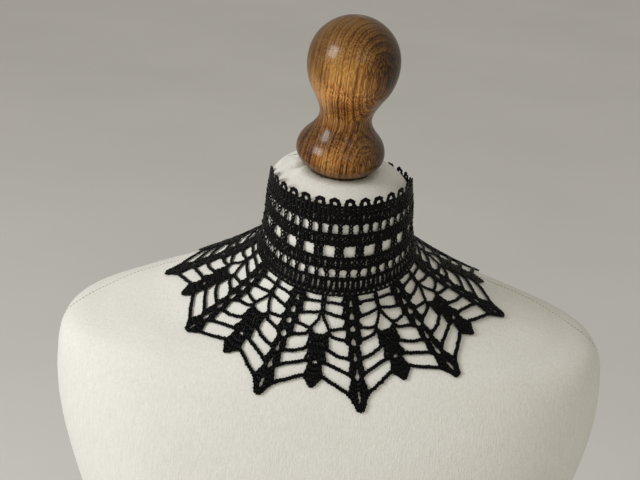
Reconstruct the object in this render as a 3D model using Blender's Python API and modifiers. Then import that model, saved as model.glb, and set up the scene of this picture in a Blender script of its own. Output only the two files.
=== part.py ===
"""A crochet lace collar, buttoned at the back of the neck, on the limbless dress form that it rests on.

The form is a table of oval rings. Each lace piece is drawn flat, in shares of a row's length and in
millimetres along the cloth, and is then laid on the form, so that a change of the table moves the cloth
with it. Metres, +Z up, origin in the middle of the form's underside. The front faces -Y, and +X is the
wearer's left.
"""

import math
from collections import namedtuple

import bpy
import numpy as np
from mathutils import Vector
from mathutils.geometry import delaunay_2d_cdt

FORM_HEIGHT = 0.640  # underside of the form to the top edge of its neck
NECK_Y = -0.0101  # the neck's top edge stands this far in front of the form's middle
FORM_SEGMENTS = 56

CLEARANCE = 0.0006  # between the form and the inner face of the lace
CLOTH = 0.0018  # thickness of the lace
SEAM = 0.0003  # gap between two pieces
NECK_SEAM = 0.0010  # gap between the band and the yoke, whose walls lean together
OPENING = 0.0016  # the slit at the back

REPEATS = 10
YOKE_START = 0.0329  # share of a row from the centre front to the spine where the yoke's halves meet
BAND_HEIGHT = 66.0  # millimetres
STITCHES = 93
BAND_START = 0.0050  # share of a row from the centre front to where the band's halves meet

# One row per ring of the form. z is measured down from the neck's top edge, and tilt is the rise towards
# the back. sag is how much lower the ring runs round the back. square is the exponent of the oval: 2 is an
# ellipse, and more is squarer.
Ring = namedtuple("Ring", "name z half_width front back centre_y tilt sag square")
RINGS = [
    Ring("over_the_neck", 0.0165, 0.0522, 0.0522, 0.0522, -0.0021, 0.160, 0.0165, 2.00),
    Ring("neck_top", 0.0000, 0.0538, 0.0538, 0.0538, 0.0000, 0.180, 0.0160, 2.00),
    Ring("band_upper", -0.0170, 0.0555, 0.0553, 0.0553, 0.0017, 0.207, 0.0125, 2.00),
    Ring("band_middle", -0.0340, 0.0563, 0.0559, 0.0559, 0.0033, 0.240, 0.0090, 2.00),
    Ring("band_lower", -0.0490, 0.0583, 0.0570, 0.0573, 0.0050, 0.272, 0.0050, 2.00),
    Ring("band_bottom", -0.0650, 0.0618, 0.0600, 0.0591, 0.0075, 0.293, 0.0015, 2.00),
    Ring("neck_root", -0.0795, 0.0775, 0.0650, 0.0647, 0.0090, 0.295, 0.0000, 2.00),
    Ring("slope_upper", -0.0945, 0.1055, 0.0701, 0.0732, 0.0090, 0.265, 0.0000, 2.05),
    Ring("slope_middle", -0.1092, 0.1400, 0.0760, 0.0830, 0.0090, 0.220, 0.0000, 2.15),
    Ring("slope_lower", -0.1215, 0.1810, 0.0824, 0.0915, 0.0090, 0.150, 0.0000, 2.30),
    Ring("shoulder_tip", -0.1355, 0.2143, 0.0885, 0.0975, 0.0090, 0.100, 0.0000, 2.40),
    Ring("arm_top", -0.1625, 0.2214, 0.0975, 0.1045, 0.0090, 0.060, 0.0000, 2.50),
    Ring("arm_side", -0.2075, 0.2188, 0.1065, 0.1100, 0.0090, 0.020, 0.0000, 2.50),
    Ring("underarm", -0.2680, 0.2038, 0.1140, 0.1130, 0.0090, 0.000, 0.0000, 2.40),
    Ring("bust", -0.3450, 0.1765, 0.1180, 0.1110, 0.0090, 0.000, 0.0000, 2.35),
    Ring("under_bust", -0.4100, 0.1480, 0.1120, 0.1000, 0.0090, 0.000, 0.0000, 2.25),
    Ring("waist", -0.4700, 0.1350, 0.1030, 0.0930, 0.0090, 0.000, 0.0000, 2.20),
    Ring("high_hip", -0.5300, 0.1440, 0.1060, 0.1000, 0.0090, 0.000, 0.0000, 2.20),
    Ring("hip", -0.6000, 0.1660, 0.1140, 0.1140, 0.0090, 0.000, 0.0000, 2.20),
    Ring("hem", -0.6400, 0.1740, 0.1170, 0.1200, 0.0090, 0.000, 0.0000, 2.20),
]
SAG_TURN = -5  # degrees by which the part without sag is turned from the front, towards the wearer's left
SAG_START = 67  # degrees from its middle at which the sag starts
SAG_FULL = 113
PLACE = {ring.name: place for place, ring in enumerate(RINGS)}
TABLE = np.array([ring[1:] for ring in RINGS])

NECK_RINGS = 5  # from the cap's edge to the ring band_lower
# Where the form's other rings are drawn, between which of the rings above, and how many.
Stretch = namedtuple("Stretch", "start end count")
STRETCHES = [
    Stretch("band_lower", "slope_lower", 15),
    Stretch("slope_lower", "arm_side", 5),
    Stretch("arm_side", "hem", 11),
]
SOLE_ROUND = 0.004  # height of the small bevel at the underside
SOLE_SHARE = 0.975

# The padded cap on the neck: rings as shares of its edge, each with its rise above the edge and with how
# far it has turned from the edge's slope to the slope of the knob's base.
CapRing = namedtuple("CapRing", "share rise turn")
CAP = [
    CapRing(0.52, 0.0132, 1.00),
    CapRing(0.84, 0.0070, 0.50),
    CapRing(0.955, 0.0034, 0.10),
    CapRing(0.988, 0.0016, 0.00),
]
CAP_DROP = 0.0088  # from the neck's top edge down to the middle of the cap's edge
CAP_LEAN = 0.095  # slope of the cap's edge down to the wearer's left
CAP_NOD = 0.178  # slope down to the front

# Turned shapes, from the base up.
Turning = namedtuple("Turning", "height radius")
KNOB = [
    Turning(0.0000, 0.0243),
    Turning(0.0058, 0.0312),
    Turning(0.0126, 0.0342),
    Turning(0.0214, 0.0320),
    Turning(0.0311, 0.0244),
    Turning(0.0399, 0.0204),
    Turning(0.0486, 0.0212),
    Turning(0.0584, 0.0257),
    Turning(0.0700, 0.0319),
    Turning(0.0836, 0.0348),
    Turning(0.0973, 0.0333),
    Turning(0.1089, 0.0271),
    Turning(0.1177, 0.0160),
    Turning(0.1225, 0.0000),
]
KNOB_X = -0.0034
KNOB_LEAN = 0.077  # slope of its axis towards the wearer's left
KNOB_NOD = 0.192  # slope of its axis towards the front
KNOB_STEPS = 28
BUTTON = [
    Turning(0.0000, 0.0026),
    Turning(0.0009, 0.0038),
    Turning(0.0020, 0.0039),
    Turning(0.0030, 0.0026),
    Turning(0.0034, 0.0000),
]
BUTTON_STEPS = 14
BUTTON_UP = {"button_top": 58.5, "button_middle": 33.5, "button_bottom": 7.5}  # millimetres above the yoke
BUTTON_ASIDE = 0.0052  # from the slit to a button's middle

# The holes of half a repeat of the yoke, each a loop of (across, down). across runs from the middle of a
# leaf (0) to the middle of a spine (1), and down is millimetres from the band. The other half is their
# mirror image.
YOKE_HOLES = {
    "first_bar": [(0.08, 1.2), (0.40, 0.9), (0.76, 1.4), (0.60, 4.9), (0.12, 3.9)],
    "second_bar": [(0.10, 7.0), (0.38, 6.9), (0.73, 9.8), (0.65, 14.9), (0.38, 13.2), (0.14, 12.2)],
    "fork": [
        (0.07, 14.2), (0.30, 16.0), (0.58, 17.3), (0.80, 19.9), (0.67, 23.6), (0.47, 25.4), (0.25, 22.4),
        (0.11, 17.6),
    ],
    "leaf_shoulder": [(0.36, 29.4), (0.44, 27.4), (0.79, 28.9), (0.73, 32.8), (0.45, 31.2)],
    "leaf_upper": [
        (0.285, 32.8), (0.48, 34.1), (0.68, 35.2), (0.87, 39.9), (0.80, 46.2), (0.62, 45.6), (0.40, 42.0),
        (0.32, 38.4),
    ],
    "leaf_middle": [
        (0.21, 43.2), (0.30, 43.2), (0.54, 47.2), (0.86, 51.8), (0.79, 57.4), (0.60, 55.2), (0.37, 52.0),
        (0.28, 47.6),
    ],
    "leaf_lower": [
        (0.18, 55.2), (0.28, 53.8), (0.46, 55.8), (0.69, 60.0), (0.875, 65.3), (0.77, 71.3), (0.58, 68.4),
        (0.33, 63.0), (0.21, 58.8),
    ],
}
# Half of the hole between a fork's legs.
FORK_MIDDLE = [(0.0, 18.6), (0.14, 22.3), (0.28, 26.1), (0.13, 29.9)]
YOKE_EDGE = [
    (0.0, 72.3), (0.05, 71.4), (0.085, 68.6), (0.21, 64.6), (0.42, 68.7), (0.69, 74.6), (0.87, 80.2),
    (0.925, 85.4), (0.955, 87.6), (1.0, 88.4),
]
TOP_EDGE = [0.76, 0.40, 0.08]  # points across half a repeat, along the seam with the band
# The long gaps in the middle of a spine, in millimetres.
SpineGap = namedtuple("SpineGap", "down half_length half_width")
SPINE_GAPS = [SpineGap(61.5, 3.2, 1.0), SpineGap(77.3, 4.2, 0.8)]
# Where the tip of a spine has crept up the form, or down it: the half of the yoke, the spine counted from the
# front, and millimetres up. The cloth moves from CREEP_START down.
Creep = namedtuple("Creep", "side spine up")
CREEPS = [Creep(1, 0, -2.0), Creep(-1, 0, -2.0), Creep(-1, 2, 7.5)]
CREEP_START = 60.0
# Places, in millimetres down, of points inside the cloth that let it follow the form's curves.
LEAF_POINTS = [34.0, 46.0, 60.0]
SPINE_POINTS = [11.5, 21.0, 30.5, 42.0, 54.5, 69.0]
TIP_POINT = 78.0
DRAWN_ROW = 30.0  # millimetres down to the row whose length the flat drawing has
WIDEST_HOLE = 40.0  # millimetres in the flat drawing

# The rows of holes in the band: millimetres from the yoke up to a row's middle, half the height of its
# holes, the stitches from hole to hole, half a hole's width in stitches, and how many holes each half of the
# band has.
BandRow = namedtuple("BandRow", "up half_height stitches half_width count loop")
SMALL_HOLE = [(-1.0, -0.72), (0.0, -1.0), (1.0, -0.72), (1.0, 0.72), (0.0, 1.0), (-1.0, 0.72)]
LARGE_HOLE = [
    (-1.0, -0.55), (-0.6, -1.0), (0.6, -1.0), (1.0, -0.55), (1.0, 0.55), (0.6, 1.0), (-0.6, 1.0),
    (-1.0, 0.55),
]
BAND_ROWS = [
    BandRow(49.5, 3.0, 2, 0.62, 22, SMALL_HOLE),
    BandRow(33.5, 3.9, 4, 1.22, 11, LARGE_HOLE),
    BandRow(16.5, 2.9, 2, 0.62, 22, SMALL_HOLE),
]
BAND_POINTS = [3.5, 25.3, 41.6, 58.5]  # millimetres up, between the rows of holes
# One picot of the top edge, in half widths and in heights.
PICOT = [(-0.80, 0.0), (-1.0, 0.45), (-0.55, 1.0), (0.55, 1.0), (1.0, 0.45), (0.80, 0.0)]
PICOT_STITCHES = 3
PICOTS = 15  # on each half of the band
PICOT_HALF_WIDTH = 0.95  # stitches
PICOT_HEIGHT = 5.4  # millimetres

MM = 1000.0  # millimetres in a metre


def smooth(values, place):
    """The value at any place on a smooth curve through evenly spaced values. place counts from the first."""
    values = np.asarray(values, float)
    knots = np.concatenate([[2 * values[0] - values[1]], values, [2 * values[-1] - values[-2]]])
    place = np.clip(np.asarray(place, float), 0, len(values) - 1)
    low = np.minimum(place.astype(int), len(values) - 2)
    f = (place - low).reshape(place.shape + (1,) * (values.ndim - 1))
    a, b, c, d = (knots[low + k] for k in range(4))
    return 0.5 * (2 * b + (c - a) * f + (2 * a - 5 * b + 4 * c - d) * f**2 + (3 * b - a - 3 * c + d) * f**3)


def form_points(place, angle):
    """Points of the form's surface. angle is in radians, from the front towards the wearer's left."""
    z, half_width, front, back, centre_y, tilt, sag, square = np.moveaxis(smooth(TABLE, place), -1, 0)
    across, along = np.sin(angle), -np.cos(angle)
    from_front = np.degrees(np.arccos(np.cos(angle - math.radians(SAG_TURN))))
    sagging = np.clip((from_front - SAG_START) / (SAG_FULL - SAG_START), 0, 1)
    z = z - sag * sagging**2 * (3 - 2 * sagging)
    depth = np.where(along < 0, front, back)
    reach = (np.abs(across / half_width) ** square + np.abs(along / depth) ** square) ** (-1 / square)
    x, y = reach * across, reach * along
    return np.stack([x, y + centre_y + NECK_Y, z + tilt * y + FORM_HEIGHT], axis=-1)


def outward(points):
    """Unit normals of a grid of points whose rows run down and whose columns close round towards +X."""
    along = np.gradient(points, axis=1)
    along[:, 0] = along[:, -1] = points[:, 1] - points[:, -2]
    normals = np.cross(np.gradient(points, axis=0), along)
    return normals / np.linalg.norm(normals, axis=2, keepdims=True)


class Cloth:
    """The middle of the lace's thickness, as a grid: a row each STEP millimetres, in equal shares all round.

    Above 0 the rows are the band's, and below 0 a row lies the same length of cloth down from the band all
    round the form.
    """

    STEP = 2.0
    TOP = -78.0
    ROWS = 87
    SHARES = 360
    PLACES = 600  # rings that are measured

    def __init__(self):
        angles = np.linspace(0, 2 * math.pi, self.SHARES + 1)
        places = np.linspace(0, PLACE["arm_side"], self.PLACES)
        surface = form_points(places[:, None], angles[None, :])
        surface += outward(surface) * (CLEARANCE + CLOTH / 2)
        steps = np.linalg.norm(np.diff(surface, axis=0), axis=2)
        fall = MM * np.vstack([np.zeros(len(angles)), steps.cumsum(axis=0)])
        bottom = PLACE["band_bottom"]
        fall -= [np.interp(bottom, places, column) for column in fall.T]
        rows, lengths = [], []
        for down in self.TOP + self.STEP * np.arange(self.ROWS):
            if down < 0:
                place = bottom + (bottom - PLACE["neck_top"]) * down / BAND_HEIGHT
                at = np.full(len(angles), max(place, 0.0))
            else:
                at = np.array([np.interp(down, column, places) for column in fall.T])
            row = np.array([
                [np.interp(p, places, surface[:, k, axis]) for axis in range(3)] for k, p in enumerate(at)
            ])
            length = np.concatenate([[0], np.linalg.norm(np.diff(row, axis=0), axis=1).cumsum()])
            shares = np.linspace(0, length[-1], self.SHARES + 1)
            rows.append(np.stack([np.interp(shares, length, row[:, axis]) for axis in range(3)], axis=1))
            lengths.append(length[-1])
        self.points = np.array(rows)
        self.normals = outward(self.points)
        self.lengths = np.array(lengths)

    def row_length(self, down):
        return np.interp(down, self.TOP + np.arange(self.ROWS) * self.STEP, self.lengths)

    def lay(self, share, down, out):
        """The point at a share of the row down millimetres from the band, and out metres above it."""
        row = min(max((down - self.TOP) / self.STEP, 0), self.ROWS - 1.001)
        column = (share % 1.0) * self.SHARES
        i, j = int(row), min(int(column), self.SHARES - 1)
        f, g = row - i, column - j
        share_of = {(i, j): (1 - f) * (1 - g), (i, j + 1): (1 - f) * g, (i + 1, j): f * (1 - g)}
        share_of[i + 1, j + 1] = f * g
        point = sum(weight * self.points[corner] for corner, weight in share_of.items())
        normal = sum(weight * self.normals[corner] for corner, weight in share_of.items())
        return point + normal / np.linalg.norm(normal) * out


def material(name, colour, roughness):
    made = bpy.data.materials.new(name)
    made.use_nodes = True
    shader = made.node_tree.nodes["Principled BSDF"]
    shader.inputs["Base Color"].default_value = (*colour, 1.0)
    shader.inputs["Roughness"].default_value = roughness
    return made


def new_object(name, points, edges, faces, collection, look):
    mesh = bpy.data.meshes.new(name)
    mesh.from_pydata([tuple(point) for point in points], edges, faces)
    mesh.materials.append(look)
    obj = bpy.data.objects.new(name, mesh)
    collection.objects.link(obj)
    return obj


def cap_level(cap, x, y):
    """Height of the level of one of the cap's rings. x and y are measured from the neck's middle."""
    lean = CAP_LEAN + cap.turn * (KNOB_LEAN - CAP_LEAN)
    nod = CAP_NOD + cap.turn * (KNOB_NOD - CAP_NOD)
    return FORM_HEIGHT - CAP_DROP + cap.rise - lean * x + nod * y


def cap_edge(angles):
    """Places in the table of rings at which the neck reaches the cap's edge."""
    flat = CapRing(1.0, 0.0, 0.0)
    high, low = np.zeros(len(angles)), np.full(len(angles), float(PLACE["band_lower"]))
    for _ in range(30):
        place = (high + low) / 2
        x, y, z = form_points(place, angles).T
        above = z > cap_level(flat, x, y - NECK_Y)
        high, low = np.where(above, place, high), np.where(above, low, place)
    return place


def form_rings():
    """The form's rings from the cap down to the underside."""
    angles = np.linspace(0, 2 * math.pi, FORM_SEGMENTS, endpoint=False)
    edge = cap_edge(angles)
    rim = form_points(edge, angles)
    rings = []
    for cap in CAP:
        x, y = cap.share * rim[:, 0], cap.share * (rim[:, 1] - NECK_Y)
        rings.append(np.stack([x, y + NECK_Y, cap_level(cap, x, y)], axis=-1))
    places = list(np.linspace(edge, PLACE["band_lower"], NECK_RINGS))
    for stretch in STRETCHES:
        between = np.linspace(PLACE[stretch.start], PLACE[stretch.end], stretch.count + 1)[1:]
        places += [np.full(FORM_SEGMENTS, place) for place in between]
    rings += [form_points(place, angles) for place in places]
    hem = rings[-1]
    sole_middle = hem.mean(axis=0)
    rings[-1] = hem + (0, 0, SOLE_ROUND)
    rings.append(sole_middle + SOLE_SHARE * (hem - sole_middle))
    return rings


def make_form(collection, look):
    rings = form_rings()
    count = FORM_SEGMENTS
    points = [point for ring in rings for point in ring]
    faces = [tuple(range(count)), tuple(reversed(range(len(points) - count, len(points))))]
    for upper in range(0, len(points) - count, count):
        for k in range(count):
            n = (k + 1) % count
            faces.append((upper + n, upper + k, upper + count + k, upper + count + n))
    new_object("torso", points, [], faces, collection, look)


def turned(name, profile, detail, steps, base, axis, collection, look):
    """A turned solid: the profile with detail points from row to row, stood at base along axis."""
    places = np.linspace(len(profile) - 1, 0, (len(profile) - 1) * detail + 1)
    outline = [(radius, 0, height) for height, radius in smooth(profile, places)]
    outline[0] = (0, 0, profile[-1].height)
    outline.append((0, 0, profile[0].height))
    edges = [(k, k + 1) for k in range(len(outline) - 1)]
    obj = new_object(name, outline, edges, [], collection, look)
    obj.location = base
    obj.rotation_mode = "QUATERNION"
    obj.rotation_quaternion = Vector(axis).to_track_quat("Z", "Y")
    screw = obj.modifiers.new("turn", "SCREW")
    screw.steps = screw.render_steps = steps
    screw.use_merge_vertices = True
    screw.merge_threshold = 1e-5


def inside(loop, x, y):
    hit = False
    for (x0, y0), (x1, y1) in zip(loop, loop[1:] + loop[:1]):
        if (y0 > y) != (y1 > y) and x < x0 + (y - y0) / (y1 - y0) * (x1 - x0):
            hit = not hit
    return hit


def make_lace(name, outline, holes, points, cloth, collection, look):
    """A sheet with holes, drawn in (share, millimetres down), laid on the form and thickened outwards."""
    row = cloth.row_length(DRAWN_ROW) * MM
    flat, edges, loops = [], [], []
    for loop in [outline] + holes:
        start = len(flat)
        drawn = [(share * row, -down) for share, down in loop]
        flat += drawn
        loops.append(drawn)
        edges += [(start + k, start + (k + 1) % len(drawn)) for k in range(len(drawn))]
    flat += [(share * row, -down) for share, down in points]
    found, _, triangles, _, _, _ = delaunay_2d_cdt([Vector(p) for p in flat], edges, [], 1, 1e-6)
    kept = []
    for triangle in triangles:
        x, y = sum((found[k] for k in triangle), Vector((0, 0))) / 3
        near = [loop for loop in loops[1:] if abs(loop[0][0] - x) < WIDEST_HOLE]
        if not any(inside(loop, x, y) for loop in near):
            kept.append(tuple(triangle))
    laid = [cloth.lay(x / row, -y, -CLOTH / 2) for x, y in found]
    obj = new_object(name, laid, [], kept, collection, look)
    wall = obj.modifiers.new("thickness", "SOLIDIFY")
    wall.thickness = CLOTH
    wall.offset = 1


def creep(side, spines, down):
    """How far up the cloth has moved at a place so many spines from the front, and down millimetres down."""
    share = max(0.0, (down - CREEP_START) / (YOKE_EDGE[-1][1] - CREEP_START)) ** 2
    near = [row for row in CREEPS if row.side == side and abs(row.spine - spines) < 0.5]
    return sum(row.up * share * math.cos(math.pi * (row.spine - spines)) ** 2 for row in near)


def yoke_half(cloth, side):
    """Outline, holes and inner points of half the yoke. side is 1 on the wearer's left, -1 on the right."""
    repeats = REPEATS // 2

    def place(spine, across, down, beyond=1):
        """across is 1 on the spine and 0 on the leaf beyond it, or on the leaf before it if beyond is -1."""
        spines = spine + beyond * (1 - across) / 2
        return YOKE_START + side * spines / REPEATS, down - creep(side, spines, down)

    def on_spine(spine, down, metres):
        share, down = place(spine, 1.0, down)
        return share + side * metres / cloth.row_length(down), down

    holes, points = [], []
    for spine in range(repeats):
        for loop in YOKE_HOLES.values():
            holes.append([place(spine, across, down) for across, down in loop])
            holes.append([place(spine + 1, across, down, -1) for across, down in loop])
        right = [place(spine, across, down) for across, down in FORK_MIDDLE]
        left = [place(spine + 1, across, down, -1) for across, down in FORK_MIDDLE[:0:-1]]
        holes.append(right + left)
        points += [place(spine, 0.0, down) for down in LEAF_POINTS]
    for spine in range(1, repeats):
        for gap in SPINE_GAPS:
            wide = gap.half_width / MM
            holes.append([
                on_spine(spine, gap.down - gap.half_length, 0),
                on_spine(spine, gap.down, wide),
                on_spine(spine, gap.down + gap.half_length, 0),
                on_spine(spine, gap.down, -wide),
            ])
        points += [place(spine, 1.0, down) for down in SPINE_POINTS]

    top, tip = NECK_SEAM / 2 * MM, YOKE_EDGE[-1][1]
    front, back = SEAM / 2, -OPENING / 2
    outline = [on_spine(0, down, front) for down in SPINE_POINTS[3::-1] + [top]]
    for spine in range(repeats):
        outline += [place(spine, 1.0, top)] * (spine > 0)
        outline += [place(spine, across, top) for across in TOP_EDGE]
        outline += [place(spine + 1, across, top, -1) for across in reversed(TOP_EDGE)]
    outline += [on_spine(repeats, down, back) for down in [top] + SPINE_POINTS + [TIP_POINT, tip]]
    for spine in reversed(range(repeats)):
        outline += [place(spine + 1, across, down, -1) for across, down in YOKE_EDGE[-2::-1]]
        outline += [place(spine, across, down) for across, down in YOKE_EDGE[1:-1]]
        outline += [place(spine, 1.0, tip)] * (spine > 0)
    outline.append(on_spine(0, tip, front))
    for gap in reversed(SPINE_GAPS):
        outline.append(on_spine(0, gap.down + gap.half_length, front))
        outline.append(on_spine(0, gap.down, front + gap.half_width / MM))
        outline.append(on_spine(0, gap.down - gap.half_length, front))
    return outline, holes, points


def band_half(cloth, side):
    """Outline, holes and inner points of half the band, with its picots."""

    def place(stitches, up):
        return BAND_START + side * stitches / STITCHES, -up

    def at_end(share, up, metres):
        return BAND_START + side * (share + metres / cloth.row_length(-up)), -up

    holes = []
    for row in BAND_ROWS:
        for k in range(row.count):
            middle = (k + 0.5) * row.stitches
            wide, high = row.half_width, row.half_height
            holes.append([place(middle + x * wide, row.up + y * high) for x, y in row.loop])
    points = [place(2 * k + 1, up) for up in BAND_POINTS for k in range(STITCHES // 4 - 1)]
    bottom = NECK_SEAM / 2 * MM
    ups = [bottom] + sorted(BAND_POINTS + [row.up for row in BAND_ROWS]) + [BAND_HEIGHT]
    outline = [at_end(0.0, up, SEAM / 2) for up in ups]
    for k in range(PICOTS):
        middle = (k + 0.5) * PICOT_STITCHES
        outline += [place(middle + x * PICOT_HALF_WIDTH, BAND_HEIGHT + y * PICOT_HEIGHT) for x, y in PICOT]
    outline += [at_end(0.5, up, -OPENING / 2) for up in reversed(ups)]
    outline += [place(2 * k, bottom) for k in range(STITCHES // 4, 0, -1)]
    return outline, holes, points


def make_button(name, up, cloth, collection, look):
    share = BAND_START + 0.5 - BUTTON_ASIDE / cloth.row_length(-up)
    under = Vector(cloth.lay(share, -up, CLOTH / 2))
    base = Vector(cloth.lay(share, -up, CLOTH / 2 + 2 * SEAM))
    turned(name, BUTTON, 1, BUTTON_STEPS, base, base - under, collection, look)


def make_knob(collection, look):
    axis = Vector((KNOB_LEAN, -KNOB_NOD, 1.0)).normalized()
    foot = Vector((KNOB_X, NECK_Y, cap_level(CAP[0], KNOB_X, 0)))
    turned("knob", KNOB, 2, KNOB_STEPS, foot + SEAM * axis, axis, collection, look)


def main():
    for obj in list(bpy.data.objects):
        bpy.data.objects.remove(obj)
    collection = bpy.data.collections.new("lace_collar_on_dress_form")
    bpy.context.scene.collection.children.link(collection)
    cotton = material("black_cotton", (0.012, 0.012, 0.014), 0.85)
    jersey = material("ivory_jersey", (0.80, 0.78, 0.72), 0.90)
    wood = material("stained_wood", (0.36, 0.17, 0.06), 0.40)
    plastic = material("button_plastic", (0.015, 0.015, 0.016), 0.35)

    cloth = Cloth()
    for name, side in (("left", 1), ("right", -1)):
        make_lace("band_" + name, *band_half(cloth, side), cloth, collection, cotton)
        make_lace("yoke_" + name, *yoke_half(cloth, side), cloth, collection, cotton)
    for name, up in BUTTON_UP.items():
        make_button(name, up, cloth, collection, plastic)
    make_form(collection, jersey)
    make_knob(collection, wood)


main()
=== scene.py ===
"""The looks of a crochet collar, buttoned at the back of the neck, and of the dress form that it rests on.

The collar is worked in yarn: every line of chain and every post is a tube of yarn that loops through itself as
crochet does. Stitches are drawn flat, in shares of a row's length and in millimetres along the cloth, and are
laid on the form's surface, which is the surface of the part's own solids. Metres, +Z up. The front faces -Y,
and +X is the wearer's left.
"""

import math
from collections import namedtuple

import bpy
import numpy as np
from mathutils import Matrix, Vector

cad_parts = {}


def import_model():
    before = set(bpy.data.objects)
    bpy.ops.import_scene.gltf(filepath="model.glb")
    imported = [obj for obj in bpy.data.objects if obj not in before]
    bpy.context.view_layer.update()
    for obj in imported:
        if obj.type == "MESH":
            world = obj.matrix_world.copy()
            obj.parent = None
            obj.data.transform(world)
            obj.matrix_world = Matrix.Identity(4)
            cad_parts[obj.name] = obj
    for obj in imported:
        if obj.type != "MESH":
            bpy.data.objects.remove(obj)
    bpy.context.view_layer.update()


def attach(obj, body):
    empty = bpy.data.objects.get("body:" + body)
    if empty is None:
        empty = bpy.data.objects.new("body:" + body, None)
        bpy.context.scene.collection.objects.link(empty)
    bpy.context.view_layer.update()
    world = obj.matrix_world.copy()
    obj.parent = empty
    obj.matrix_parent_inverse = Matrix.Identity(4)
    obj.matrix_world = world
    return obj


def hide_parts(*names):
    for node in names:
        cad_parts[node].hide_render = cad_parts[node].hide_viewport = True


MM = 1000.0  # millimetres in a metre
SEED = 7


def listed(kind, *rows):
    """Named rows: each row's numbers in the order of the kind's fields."""
    return [kind(*row) for row in rows]


# The form. The same rings as the part's solids: z is counted from the neck's top edge, tilt is the rise towards
# the back, square is the oval's exponent, and sag is how much lower the ring runs round the back.
FORM_HEIGHT = 0.640
NECK_Y = -0.0101
BODY_Y = 0.0090  # behind the neck
Ring = namedtuple("Ring", "name z half_width front back tilt square centre_y sag", defaults=[BODY_Y, 0.0])
RINGS = listed(
    Ring,
    ("over_the_neck", 0.0165, 0.0522, 0.0522, 0.0522, 0.16, 2.0, -0.0021, 0.0165),
    ("neck_top", 0.0, 0.0538, 0.0538, 0.0538, 0.18, 2.0, 0.0, 0.016),
    ("band_upper", -0.017, 0.0555, 0.0553, 0.0553, 0.207, 2.0, 0.0017, 0.0125),
    ("band_middle", -0.034, 0.0563, 0.0559, 0.0559, 0.24, 2.0, 0.0033, 0.009),
    ("band_lower", -0.049, 0.0583, 0.057, 0.0573, 0.272, 2.0, 0.005, 0.005),
    ("band_bottom", -0.065, 0.0618, 0.06, 0.0591, 0.293, 2.0, 0.0075, 0.0015),
    ("neck_root", -0.0795, 0.0775, 0.065, 0.0647, 0.295, 2.0),
    ("slope_upper", -0.0945, 0.1055, 0.0701, 0.0732, 0.265, 2.05),
    ("slope_middle", -0.1092, 0.14, 0.076, 0.083, 0.22, 2.15),
    ("slope_lower", -0.1215, 0.181, 0.0824, 0.0915, 0.15, 2.3),
    ("shoulder_tip", -0.1355, 0.2143, 0.0885, 0.0975, 0.1, 2.4),
    ("arm_top", -0.1625, 0.2214, 0.0975, 0.1045, 0.06, 2.5),
    ("arm_side", -0.2075, 0.2188, 0.1065, 0.11, 0.02, 2.5),
    ("underarm", -0.268, 0.2038, 0.114, 0.113, 0.0, 2.4),
    ("bust", -0.345, 0.1765, 0.118, 0.111, 0.0, 2.35),
    ("under_bust", -0.41, 0.148, 0.112, 0.1, 0.0, 2.25),
    ("waist", -0.47, 0.135, 0.103, 0.093, 0.0, 2.2),
    ("high_hip", -0.53, 0.144, 0.106, 0.1, 0.0, 2.2),
    ("hip", -0.6, 0.166, 0.114, 0.114, 0.0, 2.2),
    ("hem", -0.64, 0.174, 0.117, 0.12, 0.0, 2.2),
)
# The sag sets in between two angles from the front, which is turned a little. Degrees.
SAG_TURN = -5
SAG_START = 67
SAG_FULL = 113
PLACE = {ring.name: place for place, ring in enumerate(RINGS)}
SIZES = np.array([ring[1:] for ring in RINGS])

CLEARANCE = 0.0006  # from the form to the lace
CLOTH = 0.0018  # the thickness of the lace in the part's solids

# The padded cap on the neck: rings as shares of its edge, with their rise above it and with how far they have
# turned from its slope to that of the knob's base.
CapRing = namedtuple("CapRing", "share rise turn")
CAP = listed(
    CapRing,
    (0.0, 0.0132, 1.0),
    (0.52, 0.0132, 1.0),
    (0.84, 0.007, 0.5),
    (0.955, 0.0034, 0.1),
    (0.988, 0.0016, 0.0),
    (1.0, 0.0, 0.0),
)
CAP_DROP = 0.0088  # from the neck's top edge to the middle of the cap's edge
CAP_LEAN = 0.095  # how far the edge falls towards the wearer's left, and rises towards the back
CAP_NOD = 0.178
# Folds in the jersey round the knob's base: degrees from the front, how far they run out from the base, their
# half width and their height.
Pucker = namedtuple("Pucker", "angle length half_width height")
PUCKERS = listed(
    Pucker,
    (-62, 0.019, 0.0034, 0.003),
    (-78, 0.017, 0.0028, -0.003),
    (-93, 0.016, 0.0032, 0.002),
    (-118, 0.015, 0.0024, 0.0012),
    (-140, 0.011, 0.0022, -0.0009),
    (150, 0.012, 0.003, 0.0008),
    (62, 0.01, 0.0034, -0.0006),
    (-30, 0.009, 0.0034, -0.0005),
)

# How the form's mesh is divided: between which rings, and into how many rows.
STRETCHES = [("band_lower", "slope_lower", 50), ("slope_lower", "arm_side", 26), ("arm_side", "hem", 46)]
NECK_ROWS = 16
CAP_ROWS = 44
FORM_COLUMNS = 240
SOLE_ROWS = [(0.004, 1.0), (0.0014, 0.997), (0.0, 0.9875), (0.0, 0.975)]  # rise, share of the hem
# The shoulder and side seams: places in the table of rings, and the angle from the front in degrees.
SEAM = [
    (5.0, 112.0), (7.0, 109.0), (8.3, 105.0), (8.75, 101.4), (9.25, 95.4), (9.75, 90.8), (10.5, 88.8),
    (12.0, 89.0), (19.0, 90.0),
]
# Across a seam, and out of the form. Millimetres.
GROOVE = [(-2.4, 0.0), (-1.2, 0.10), (-0.6, -0.06), (0.0, -0.30), (0.6, -0.06), (1.2, 0.10), (2.4, 0.0)]
STITCH_PITCH = 0.0032
STITCH_LENGTH = 0.0021
STITCH_RADIUS = 0.00026
STITCH_LIFT = [-0.00045, -0.00008, 0.0, -0.00008, -0.00045]  # out of the form, from end to end

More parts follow.
